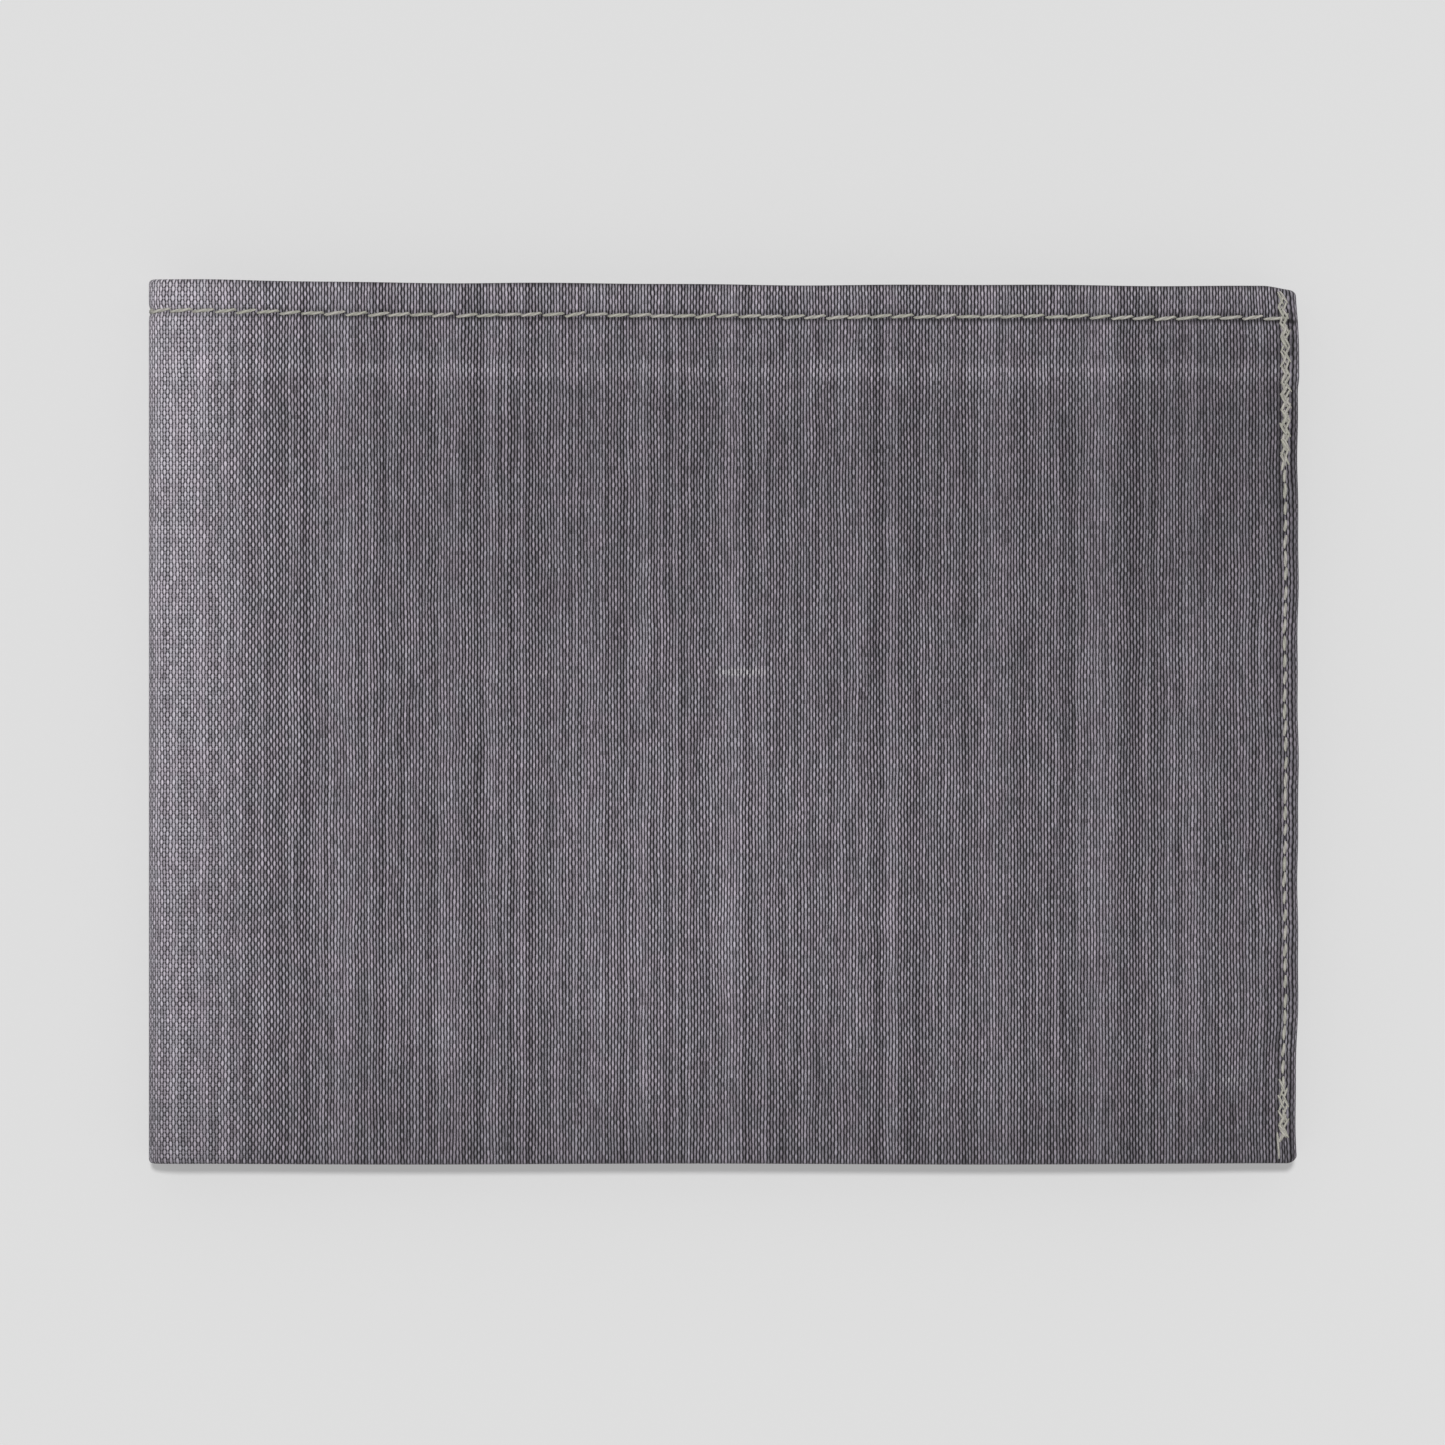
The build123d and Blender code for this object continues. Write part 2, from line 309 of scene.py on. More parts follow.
def new_piece(name, verts_mm, faces, uv_mm, material):
    """A mesh object at the origin from arrays in millimetres, with a UV map in millimetres."""
    mesh = bpy.data.meshes.new(name)
    verts = (verts_mm * MM).reshape(-1, 3)
    mesh.vertices.add(len(verts))
    mesh.vertices.foreach_set("co", verts.astype(np.float32).ravel())
    mesh.loops.add(faces.size)
    mesh.loops.foreach_set("vertex_index", faces.astype(np.int32).ravel())
    mesh.polygons.add(len(faces))
    mesh.polygons.foreach_set("loop_start", np.arange(0, faces.size, 4, dtype=np.int32))
    mesh.update(calc_edges=True)
    mesh.polygons.foreach_set("use_smooth", np.ones(len(faces), bool))
    layer = mesh.uv_layers.new(name="Cloth")
    layer.data.foreach_set("uv", uv_mm.reshape(-1, 2)[faces.ravel()].astype(np.float32).ravel())
    mesh.materials.append(material)
    mesh.validate()
    piece = bpy.data.objects.new(name, mesh)
    bpy.context.scene.collection.objects.link(piece)
    return piece


def grid_faces(rows, columns, first=0, wrap=False):
    """Quads of a grid; wrap joins the last column to the first."""
    index = np.arange(rows * columns).reshape(rows, columns) + first
    if wrap:
        index = np.hstack([index, index[:, :1]])
    return np.stack([index[:-1, :-1], index[1:, :-1], index[1:, 1:], index[:-1, 1:]],
                    axis=-1).reshape(-1, 4)


def shell(points, uv, thickness):
    """A closed sheet of cloth: the grid moved half its thickness each way along its normals
    and closed with a rim, its faces turned outwards by the sign of its volume."""
    along_rows, along_columns = np.gradient(points, axis=0), np.gradient(points, axis=1)
    normal = np.cross(along_rows, along_columns)
    normal /= np.linalg.norm(normal, axis=-1, keepdims=True) + 1e-12
    rows, columns = points.shape[:2]
    count = rows * columns
    verts = np.concatenate([(points + normal * thickness / 2).reshape(-1, 3),
                            (points - normal * thickness / 2).reshape(-1, 3)])
    top = grid_faces(rows, columns)
    under = grid_faces(rows, columns, count)[:, ::-1]
    index = np.arange(count).reshape(rows, columns)
    ring = np.concatenate([index[0, :], index[1:, -1], index[-1, -2::-1], index[-2:0:-1, 0]])
    after = np.roll(ring, -1)
    rim = np.stack([ring, after, after + count, ring + count], axis=-1)
    faces = np.concatenate([top, under, rim])
    corners = verts[faces]
    middle = corners.mean(axis=1)
    area = np.cross(corners[:, 2] - corners[:, 0], corners[:, 3] - corners[:, 1])
    if (area * middle).sum() < 0:
        faces = faces[:, ::-1]
    return verts, faces, np.concatenate([uv.reshape(-1, 2)] * 2)


def in_half(half, x, y, h):
    """Points of one half from x, y and the height above its outer plane."""
    x, y, h = np.broadcast_arrays(x, y, h)
    return np.stack([x, y, h if half == "back" else THICKNESS - h], axis=-1)


def stitches(name, centre, forward, up, length, width, material, dip=0.16):
    """Two-ply stitches.  Ring i of stitch k lies at centre + forward * t * length / 2 and
    sinks by dip * t^4 at its ends; its section is a circle with two turning lobes."""
    rings, sides = 8, 8
    t = np.linspace(-1.0, 1.0, rings)[None, :, None, None]
    angle = (np.arange(sides) * 2 * math.pi / sides)[None, None, :, None]
    centre, forward, up = (np.atleast_2d(a)[:, None, None, :] for a in (centre, forward, up))
    length = np.broadcast_to(length, (centre.shape[0],))[:, None, None, None]
    side = np.cross(forward, up)
    lobes = 1.0 + 0.17 * np.cos(2.0 * angle - 2.6 * t * length)
    radius = width / 2 * lobes * (1.0 - 0.42 * np.abs(t) ** 5)
    path = centre + forward * t * length / 2 - up * dip * t ** 4
    verts = path + radius * (side * np.cos(angle) + 0.82 * up * np.sin(angle))
    count = verts.shape[0]
    faces = np.concatenate([grid_faces(rings, sides, k * rings * sides, wrap=True)
                            for k in range(count)])
    base = np.arange(count)[:, None] * rings * sides
    caps = np.array([[0, 1, 2, 3], [0, 3, 4, 7], [4, 5, 6, 7]])
    low = (base[:, :, None] + caps[None]).reshape(-1, 4)
    high = (base[:, :, None] + (rings - 1) * sides + caps[None, :, ::-1]).reshape(-1, 4)
    faces = np.concatenate([faces, low, high])
    first = verts[0].reshape(-1, 3)
    one = first[faces[:(rings - 1) * sides]]
    area = np.cross(one[:, 2] - one[:, 0], one[:, 3] - one[:, 1])
    if (area * (one.mean(axis=1) - first.mean(axis=0))).sum() < 0:
        faces = faces[:, ::-1]
    uv = np.broadcast_to(np.concatenate([t * length / 2 + np.arange(count)[:, None, None, None]
                                         * 3.0 + 0.0 * angle, angle + 0.0 * t * length],
                                        axis=-1), (count, rings, sides, 2))
    return new_piece(name, verts.reshape(-1, 3), faces, uv, material)


# ---------------------------------------------------------------- shaders


class Value:
    """A shader number or colour; arithmetic on it adds Math nodes."""

    def __init__(self, maker, socket):
        self.maker, self.socket = maker, socket

    def __add__(self, other):
        return self.maker.math("ADD", self, other)

    def __mul__(self, other):
        return self.maker.math("MULTIPLY", self, other)

    def __sub__(self, other):
        return self.maker.math("SUBTRACT", self, other)

    def __rsub__(self, other):
        return self.maker.math("SUBTRACT", other, self)

    def __truediv__(self, other):
        return self.maker.math("DIVIDE", self, other)

    def __neg__(self):
        return self * -1.0

    __radd__ = __add__
    __rmul__ = __mul__


class Maker:
    """Builds one material's nodes."""

    def __init__(self, name):
        self.material = bpy.data.materials.new(name)
        self.material.use_nodes = True
        self.tree = self.material.node_tree
        self.tree.nodes.clear()

    def node(self, kind, settings=None, inputs=None, output=0):
        """One node: its settings first, then the values or links of its inputs."""
        made = self.tree.nodes.new(kind)
        for name, value in (settings or {}).items():
            setattr(made, name, value)
        for key, value in (inputs or {}).items():
            if isinstance(value, Value):
                self.tree.links.new(value.socket, made.inputs[key])
            else:
                made.inputs[key].default_value = value
        return Value(self, made.outputs[output])

    def math(self, operation, *values, clamp=False):
        """A Math node."""
        return self.node("ShaderNodeMath", {"operation": operation, "use_clamp": clamp},
                         dict(enumerate(values)))

    def mix(self, factor, a, b, blend="MIX"):
        """A mix of two colours."""
        return self.node("ShaderNodeMix", {"data_type": "RGBA", "blend_type": blend},
                         {0: factor, 6: a, 7: b}, 2)

    def clamp(self, value):
        """The value held to 0..1."""
        return self.math("ADD", value, 0.0, clamp=True)

    def step(self, value, low, high):
        """Smoothstep of value from low to high."""
        return self.node("ShaderNodeMapRange", {"interpolation_type": "SMOOTHSTEP"},
                         {0: value, 1: low, 2: high, 3: 0.0, 4: 1.0})

    def bell(self, value, middle, width):
        """exp(-((value - middle) / width)^2)."""
        off = (value - middle) / width
        return self.math("EXPONENT", -(off * off))

    def noise(self, u, v, scale_u, scale_v, detail=2.0, seed=0.0):
        """Noise stretched by two scales, from 0 to 1 about 0.5."""
        place = self.node("ShaderNodeCombineXYZ", None,
                          {0: u * scale_u + seed, 1: v * scale_v - seed * 0.7})
        return self.node("ShaderNodeTexNoise", {"noise_dimensions": "2D"},
                         {"Vector": place, "Scale": 1.0, "Detail": detail})

    def random(self, a, b, seed=0.0):
        """White noise of two whole numbers, from 0 to 1."""
        place = self.node("ShaderNodeCombineXYZ", None, {0: a + seed, 1: b + seed * 1.7})
        return self.node("ShaderNodeTexWhiteNoise", {"noise_dimensions": "2D"},
                         {"Vector": place})

    def cloth_place(self):
        """The cloth's own coordinates in millimetres: along the width, and up."""
        uv = self.node("ShaderNodeUVMap", {"uv_map": "Cloth"})
        return (self.node("ShaderNodeSeparateXYZ", None, {0: uv}, 0),
                self.node("ShaderNodeSeparateXYZ", None, {0: uv}, 1))

    def finish(self, base, roughness, normal, sheen, sheen_tint):
        """The shader and its output; constant values sit on the shader itself."""
        shader = self.node("ShaderNodeBsdfPrincipled", None, {
            "Base Color": base, "Roughness": roughness, "Normal": normal,
            "Specular IOR Level": 0.25, "Sheen Weight": sheen, "Sheen Roughness": 0.5,
            "Sheen Tint": (*sheen_tint, 1.0)})
        self.node_output(shader)
        return self.material

    def node_output(self, shader):
        """Link a shader to the material's output."""
        out = self.tree.nodes.new("ShaderNodeOutputMaterial")
        self.tree.links.new(shader.socket, out.inputs[0])


def weave(maker, u, v, warp_pitch, weft_pitch, even):
    """Height, thread tone and bead tone of a plain weave.

    Thread i of the warp lies over thread j of the weft where i + j is even: a cosine carries
    each over the other, and a parabola rounds its section.  The higher one shows.  Where
    even is 0 the warp hides the weft and stands as ribs; where it is 1 both show alike.
    """
    drift = (maker.noise(u, v, 0.35, 0.12, 2.0, 3.0) - 0.5) * 0.9
    sway = (maker.noise(u, v, 0.10, 0.5, 2.0, 9.0) - 0.5) * 0.45
    wobble = (maker.noise(u, v, 1.6, 1.1, 1.0, 17.0) - 0.5) * 0.16
    a = u / warp_pitch + drift + wobble
    b = v / weft_pitch + sway
    i, j = maker.math("FLOOR", a), maker.math("FLOOR", b)
    across, up = a - i - 0.5, b - j - 0.5
    over = 1.0 - maker.math("FLOORED_MODULO", i + j, 2.0) * 2.0
    lift = even * 0.20 + 0.16
    warp = (maker.math("COSINE", up * math.pi) * over * lift + 0.60
            + maker.random(i, 0.0, 5.0) * 0.16 - across * across * 3.0)
    weft = (even * 0.14 + 0.08 - maker.math("COSINE", across * math.pi) * over * lift
            - up * up * 2.2)
    height = maker.math("MAXIMUM", warp, weft)
    on_warp = maker.math("GREATER_THAN", warp, weft)
    run = maker.math("FLOOR", v / 9.0 + maker.random(i, 3.0, 2.0) * 4.0)
    tone = (on_warp * maker.random(i, run, 1.0)
            + (1.0 - on_warp) * maker.random(j, maker.math("FLOOR", u / 11.0), 8.0))
    return height, tone, maker.random(i, j, 4.0)


def grey(level):
    """A neutral colour."""
    return (level, level, level, 1.0)


def scaled(maker, colour_in, factor):
    """A colour times a number."""
    times = maker.node("ShaderNodeCombineColor", None, {0: factor, 1: factor, 2: factor})
    return maker.mix(1.0, colour_in, times, "MULTIPLY")


def cloth_material(name, base, worn, seed, wear_level):
    """Plain-weave cloth: thread tones, slubs, mottling, painted shade in the gaps between
    threads, and pale thread tops where it is worn.  wear_level gives (evenness of the weave,
    wear, tone); the cover's and pockets' tone carries painted light and shade."""
    size = sizes()
    maker = Maker(name)
    u, v = maker.cloth_place()
    even, wear, tone = wear_level(maker, u, v)
    height, thread_tone, bead = weave(maker, u, v, size["warp_pitch"], size["weft_pitch"],
                                      even)
    streak = maker.noise(u, v, 1.9, 0.035, 3.0, seed + 1.0)
    slub = maker.noise(u, v, 3.2, 0.32, 2.0, seed + 2.0)
    weft_streak = maker.noise(u, v, 0.05, 2.1, 2.0, seed + 3.0)
    blotch = maker.noise(u, v, 0.075, 0.075, 4.0, seed + 4.0)
    level = (0.62 + (streak - 0.5) * 0.24 + (slub - 0.5) * 0.50 + (weft_streak - 0.5) * 0.14
             + (blotch - 0.5) * 0.30 + thread_tone * 0.36 + bead * 0.56)
    # Painted shade in the gaps between threads: darker where the weave lies low.
    depth = maker.step(height, 0.17, 0.80) * 1.76 + 0.01 + even * 0.05
    tint_noise = maker.noise(u, v, 0.45, 0.30, 4.0, seed + 6.0)
    tint = maker.mix(maker.step(tint_noise, 0.38, 0.62), (1.018, 0.990, 1.0, 1.0),
                     (0.984, 1.008, 1.0, 1.0))
    tinted = maker.mix(1.0, (*base, 1.0), tint, "MULTIPLY")
    # tone brings the wear_level's tone, with the painted light and shade of the cover and
    # pockets.
    body = scaled(maker, tinted, level * depth * tone)
    rubbed = maker.clamp(wear * maker.step(height, 0.34, 0.80) * (bead * 0.9 + 0.55))
    coloured = maker.mix(rubbed, body, (*worn, 1.0))
    bump = maker.node("ShaderNodeBump", None, {
        "Strength": 0.9, "Distance": 0.00016, "Height": height + (slub - 0.5) * 0.5})
    roughness = maker.clamp(0.86 + (bead - 0.5) * 0.14 - wear * 0.15)
    return maker.finish(coloured, roughness, bump, 0.10, (0.9, 0.88, 0.92))


# Small rubbed marks on the front: x, y, half length, half height, strength
MARKS = (
    (1.9, 4.75, 2.0, 0.34, 1.4), (-17.7, 4.55, 5.0, 0.28, 0.28), (31.0, 11.5, 3.4, 0.35, 0.16),
    (-25.0, -15.5, 8.0, 0.25, 0.10), (-4.2, -20.0, 0.30, 5.0, 0.22),
    (44.5, -35.3, 0.45, 0.60, 0.50), (49.7, -34.9, 1.0, 0.45, 0.45),
)


def cover_wear_and_shading(maker, u, v):
    """Wear of the cover by distance from the fold and from the mouth, with painted light and
    shade: lighter towards the fold, partly fading and partly painted highlight, painted
    highlights on the hem and a bulge, and painted shadows along the stitch rows, at the mouth's
    edge and towards the foot.
    """
    beyond = s_at(cover_line(), 0.0)
    away = maker.math("MAXIMUM", maker.math("ABSOLUTE", u) - 3.0, 0.0)
    upward = maker.step(v, FOOT_Y, MOUTH_Y)
    fold = maker.math("EXPONENT", -maker.math("POWER", away / 8.8, 1.5))
    patchy = maker.noise(u, v, 0.30, 0.16, 3.0, 31.0)
    fall = 1.0 - maker.math("EXPONENT", away * (-1.0 / MOUTH_EASE))
    below = MOUTH_Y - MOUTH_INSET - fall * MOUTH_FALL - v
    along_row = maker.math("ABSOLUTE", u) / sizes()["stitch_pitch"]
    off_hole = maker.math("ABSOLUTE", along_row - maker.math("ROUND", along_row))
    # Painted shadows where the thread goes in between stitches, and in thin lines just above
    # and below the hem's stitch row.
    stitch_row_shadows = (maker.bell(below, HEM_ROW_DROP, 0.30) * maker.bell(off_hole, 0.0, 0.14) * 0.80
             + maker.bell(below, HEM_ROW_DROP + 0.40, 0.20) * 0.55
             + maker.bell(below, HEM_ROW_DROP - 0.38, 0.16) * 0.32)
    side_row = s_at(cover_line(), SIDE_ROW_X)
    # Painted shade in two thin lines either side of the free edge's stitch row.
    side_row_shadows = (maker.bell(maker.math("ABSOLUTE", u), side_row - 0.80, 0.20) * 0.42
             + maker.bell(maker.math("ABSOLUTE", u), side_row + 0.50, 0.20) * 0.45)
    hem_band = maker.bell(below, 8.25, 0.75) * (patchy * 0.9 + 0.2)
    lip = maker.bell(below, 0.45, 0.35)
    # Painted highlight on the hem's band, from the mouth down to just above its stitch row.
    hem_top_highlight = 1.0 - maker.step(below, 2.5, 3.0)
    scuff = maker.clamp(maker.noise(u, v, 0.5, 0.05, 2.0, 40.0) * 5.0 - 3.35)
    wear = fold * (upward * 0.26 + 0.13) + hem_band * 0.12 + lip * 0.22 + scuff * 0.12
    for x, y, long, high, strength in MARKS:
        wear = wear + maker.bell(u, x + beyond, long) * maker.bell(v, y, high) * strength
    # Painted highlight where the cover bulges in its lower middle.
    bulge_highlight = maker.bell(v, -14.0, 17.0) * maker.bell(away, 56.0, 36.0)
    far = maker.step(away, 62.0, 104.0)
    even = maker.math("EXPONENT", -maker.math("POWER", away / 13.0, 2.0))
    # Tone over the cover, partly wear and partly painted light and shade. It is lighter towards
    # the fold, more so near the mouth; this is partly fading and partly a painted highlight
    # where the cover falls to the fold. There is a painted highlight on the hem's band above
    # its stitches, a faint lighter band 4.4 mm below the mouth, and a lighter rubbed ridge over
    # the hem's raw edge. There is a painted highlight on the bulge of the lower middle. It is
    # darker towards the free edge, near that edge's upper end, and in a band across the upper
    # part. There are painted shadows along the stitch rows, painted shade where the cloth turns
    # over the mouth, and painted shade over the lowest 11 mm, where the cover falls to the
    # foot's turn.
    shade = (1.0 + fold * (upward * 0.62 + 0.22) + hem_top_highlight * 0.15
             + maker.bell(below, 4.4, 1.6) * 0.08
             + maker.bell(below, 8.25, 0.9) * 0.22 + bulge_highlight * 0.11 - far * 0.13
             - maker.bell(v, 24.0, 13.0) * 0.09 - stitch_row_shadows - side_row_shadows
             - maker.bell(below, -0.10, 0.24) * 0.60
             - (1.0 - maker.step(v, FOOT_Y, FOOT_Y + 11.0)) * 0.16
             - maker.bell(v, 30.0, 8.0) * maker.step(away, 88.0, 104.0) * 0.15)
    return even, maker.clamp(wear), maker.math("MAXIMUM", shade, 0.1)


def inner_wear(maker, u, v):
    """Little wear inside: only slow changes of tone."""
    slow = maker.noise(u, v, 0.06, 0.05, 2.0, 12.0)
    return 0.35, slow * 0.06, slow * 0.3 + 0.85


def pocket_wear_and_shade(maker, u, v):
    """As inside, with the pockets' mouths rubbed, painted shade in a darker line just under
    each hem, and a painted shadow in a darker line just above each mouth.
    """
    even, wear, tone = inner_wear(maker, u, v)
    for mouth in (UPPER_MOUTH, LOWER_MOUTH):
        wear = wear + maker.bell(v, mouth - 0.4, 0.55) * 0.30
        # Painted shade in a line 6.5 mm below the mouth, just under the hem, and a painted
        # shadow just above the mouth, where the pocket in front stands out from the cloth
        # behind.
        tone = (tone + maker.bell(v, mouth - 6.5, 0.7) * -0.16
                + maker.bell(v, mouth + 0.7, 0.7) * -0.35)
    return even, maker.clamp(wear), tone


def thread_material():
    """Two-ply sewing thread: fine slanted plies, painted shade in the grooves between them, and
    uneven soiling.
    """
    maker = Maker("sewing_thread")
    u, v = maker.cloth_place()
    ply = maker.math("SINE", v * 2.0 - u * 5.2)
    fibre = maker.noise(u, v, 6.0, 3.0, 3.0, 2.0)
    soil = maker.noise(u, v, 0.21, 0.02, 2.0, 5.0)
    base = bpy.context.scene.wallet_colours.thread
    # ply lightens the plies' ridges and darkens their grooves: painted shade along the twist.
    level = 0.62 + ply * 0.16 + (fibre - 0.5) * 0.5 + soil * 0.45
    coloured = scaled(maker, maker.mix(maker.step(soil, 0.35, 0.65), (*base, 1.0),
                                       (base[0] * 0.78, base[1] * 0.80, base[2] * 0.76, 1.0)),
                      level)
    bump = maker.node("ShaderNodeBump", None, {"Strength": 0.6, "Distance": 0.00008,
                                               "Height": ply * 0.5 + fibre})
    roughness = maker.clamp(fibre * 0.3 + 0.45)
    return maker.finish(coloured, roughness, bump, 0.08, (1.0, 1.0, 1.0))


MATERIALS = {}


def make_materials():
    """Every finish, by its slot."""
    tones = bpy.context.scene.wallet_colours
    for slot, name, base, seed, wear_level in (
            ("cover_cloth", "worn_and_shaded_cover_cloth", tones.cover, 0.0, cover_wear_and_shading),
            ("lining_cloth", "lining_weave", tones.lining, 60.0, inner_wear),
            ("pocket_cloth", "pocket_weave", tones.pocket, 90.0, pocket_wear_and_shade),
            ("binding_tape", "binding_weave", tones.binding, 120.0, inner_wear)):
        MATERIALS[slot] = cloth_material(name, base, tones.worn, seed, wear_level)
    MATERIALS["thread"] = thread_material()


# ---------------------------------------------------------------- placing on bodies


def bend_with_fold(piece, half):
    """Bakes the piece's transform into its mesh, the same way for either half."""
    if half == "back":
        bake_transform(piece)
    else:
        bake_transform(piece)


def declare(flat_mm):
    """Works out the flat size of a piece's cloth in metres and keeps nothing."""
    flat_mm[0] * MM
    flat_mm[1] * MM


def spread(*parts):
    """Sample places joined from (start, end, step) stretches."""
    places = [np.arange(a, b, step) for a, b, step in parts]
    return np.concatenate(places + [[parts[-1][1]]])


def new_cloth(name, half, points, uv, thickness, material):
    """A piece of cloth of one half, from its centre surface (x, y, h)."""
    verts, faces, uv = shell(in_half(half, *points), uv, thickness)
    return new_piece(f"{name}_{half}", verts, faces, uv, MATERIALS[material])


def make_cover(half):
    """The outer cover with its turned hem, bottom turn and rolled free edge.

    Columns run by length along cover_line.  Rows run from the hem's inner edge, round the
    mouth by a half circle, down the face, round the bottom by a half circle and up inside.
    """
    size = sizes()
    line = cover_line()
    pitch = size["stitch_pitch"]
    total = line["s"][-1]
    s = spread((0.0, 16.0, 0.4), (16.0, line["face_end"] - 3.0, pitch / 4),
               (line["face_end"] - 3.0, line["roll_end"], 0.24),
               (line["roll_end"], total, 0.6))[:, None]
    x0, _ = along(line, s)
    mouth, foot = mouth_edge(half, x0), foot_edge(half, x0)
    in_roll = smooth((s - line["face_end"] + 1.0) / 2.0)
    at_fold = 1.0 - smooth((s - 3.5) / 5.0)
    foot_turn = FOOT_TURN * (1.0 - 0.45 * in_roll - 0.48 * at_fold)
    half_turn = np.linspace(math.pi, 0.0, 8)[None, :]
    face_top, face_foot = mouth - MOUTH_TURN, foot + foot_turn
    hem = np.linspace(HEM_DEPTH, 1.0, 6)[None, :]
    drop = spread((0.0, 4.6, 0.24), (4.6, 10.4, 0.5), (10.4, 85.4, 0.71))[None, 1:]
    share = drop / drop.max()
    turn = np.linspace(0.0, math.pi, 7)[None, 1:]
    inside = np.linspace(1.0, FOOT_ALLOWANCE, 3)[None, :]
    ones = np.ones_like(s)
    y = np.hstack([face_top - hem, face_top + MOUTH_TURN * np.sin(half_turn),
                   face_top - share * (face_top - face_foot),
                   face_foot - foot_turn * np.sin(turn), face_foot + inside])
    depth = np.hstack([ones * MOUTH_TURN * 2 + 0 * hem,
                       MOUTH_TURN * (1 - np.cos(half_turn)) * ones, 0 * share * ones,
                       foot_turn * (1 - np.cos(turn)),
                       2 * foot_turn + 0 * inside])
    s_all = s + 0 * y
    x, h = along(line, s_all, depth)
    on_face = np.hstack([0 * hem, (1 + np.cos(half_turn)) / 2, 1 + 0 * share,
                         (1 + np.cos(turn)) / 2, 0 * inside])
    raised = relief(half, line, s_all, x, y, mouth) * on_face
    nx, nh = normals(line, s_all)
    x, h = x - nx * raised, h - nh * raised
    x = x - free_edge(y) * near_edge(line, s_all, 7.0)
    rows = np.hstack([face_top + 2 * MOUTH_TURN + hem, face_top + MOUTH_TURN * half_turn,
                      face_top - share * (face_top - face_foot),
                      face_foot - foot_turn * turn, face_foot - foot_turn * 3.2 - inside])
    side = 1.0 if half == "front" else -1.0
    uv = np.stack([side * s_all, rows], axis=-1)
    piece = new_cloth("cover_cloth", half, (x, y, h), uv, size["cover_cloth"], "cover_cloth")
    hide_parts(f"outer_cover_{half}", f"top_hem_{half}", f"bottom_fold_{half}",
                f"seam_allowance_{half}", "outer_cover_spine", "top_hem_spine",
                "bottom_fold_spine")
    long = MOUTH_Y - FOOT_Y + HEM_DEPTH + FOOT_ALLOWANCE
    declare((total, long))
    bend_with_fold(piece, half)


def lining_gap(line, s):
    """Distance of the lining from the cover's centre line: pressed close in the fold's
    corner and towards the free edge."""
    flat = LINING_H - line["h"].min()
    corner = s_at(line, FOLD_X + 1.6)
    pressed = 0.30 * bell((s - corner) / 1.7)
    edge = 0.50 * near_edge(line, s, 9.0)
    return flat - pressed - edge


def lining_depth(line, s, y, below_mouth):
    """Depth of the lining's face: its gap, a slow sag and the valley of its hem's stitches."""
    loose = 1.0 - near_edge(line, s, 8.0)
    sag = 0.10 * np.sin(s / 15.0) * np.sin(y / 19.0) * smooth((s - 9.0) / 8.0)
    valley = 0.10 * bell((below_mouth - LINING_ROW_DROP) / 0.4)
    return lining_gap(line, s) + (sag - valley) * loose


def make_lining(half):
    """The note compartment's lining, its top edge turned and hemmed."""
    line = cover_line()
    s = spread((0.0, 14.0, 0.45), (14.0, line["face_end"] - 0.2, 1.3))[:, None]
    x0, _ = along(line, s)
    foot = foot_edge(half, x0) + 0.75
    mouth = mouth_edge(half, x0) - (MOUTH_Y - LINING_TOP)
    radius, hem = 0.16, 6.0
    turn = np.linspace(math.pi, 0.0, 6)[None, :]
    hem_rows = np.linspace(hem, 0.8, 4)[None, :]
    share = np.linspace(0.0, 1.0, 74)[None, 1:]
    top = mouth - radius
    y = np.hstack([top - hem_rows, top + radius * np.sin(turn), top - share * (top - foot)])
    under = np.hstack([2 * radius + 0 * hem_rows, radius * (1 - np.cos(turn)), 0 * share])
    s_all = s + 0 * y
    x, h = along(line, s_all, lining_depth(line, s_all, y, mouth - y) - under)
    side = 1.0 if half == "front" else -1.0
    uv = np.stack([side * s_all, np.hstack([2 * top - y[:, :10], y[:, 10:]])], axis=-1)
    piece = new_cloth("note_lining_cloth", half, (x, y, h), uv, sizes()["lining_cloth"],
                      "lining_cloth")
    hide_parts(f"note_lining_{half}", "note_lining_spine")
    declare((line["face_end"], LINING_TOP - FOOT_Y + hem))
    bend_with_fold(piece, half)


def panel_height(level, x, y, mouth, edge_level, left_level):
    """Height of a pocket panel: level in the middle, pressed at both seams, and a little
    looser towards its mouth."""
    right = smooth((x - POCKET_RIGHT + 9.0) / 9.0)
    left = smooth((POCKET_LEFT + 7.0 - x) / 7.0)
    slack = (0.06 * np.sin(x / 11.0 + y / 17.0) - 0.05) * (1.0 - right) * (1.0 - left)
    lip = 0.05 * bell((mouth - y) / 5.0) * np.sin((x - POCKET_LEFT) / 97.0 * math.pi)
    return level + slack + lip + (edge_level - level) * right + (left_level - level) * left


PANELS = (
    # name, level, mouth, level at the free edge, level at the binding
    ("lower_pocket", LOWER_H - 0.02, LOWER_MOUTH, 2.12, 2.88),
    ("upper_pocket", UPPER_H, UPPER_MOUTH, 1.78, 2.30),
)


def panel_point(panel, x, y):
    """Height of a panel's centre surface, with the valley of its hem's stitches."""
    _, level, mouth, edge_level, left_level = panel
    dip = 0.10 * bell((mouth_line(panel, x) - y - POCKET_ROW_DROP) / 0.4)
    return panel_height(level, x, y, mouth, edge_level, left_level) - dip


def mouth_line(panel, x):
    """A pocket's mouth, dipping slightly towards its middle."""
    span = (x - POCKET_LEFT) / (POCKET_RIGHT - POCKET_LEFT)
    return panel[2] - 0.55 * np.sin(np.clip(span, 0, 1) * math.pi) ** 2


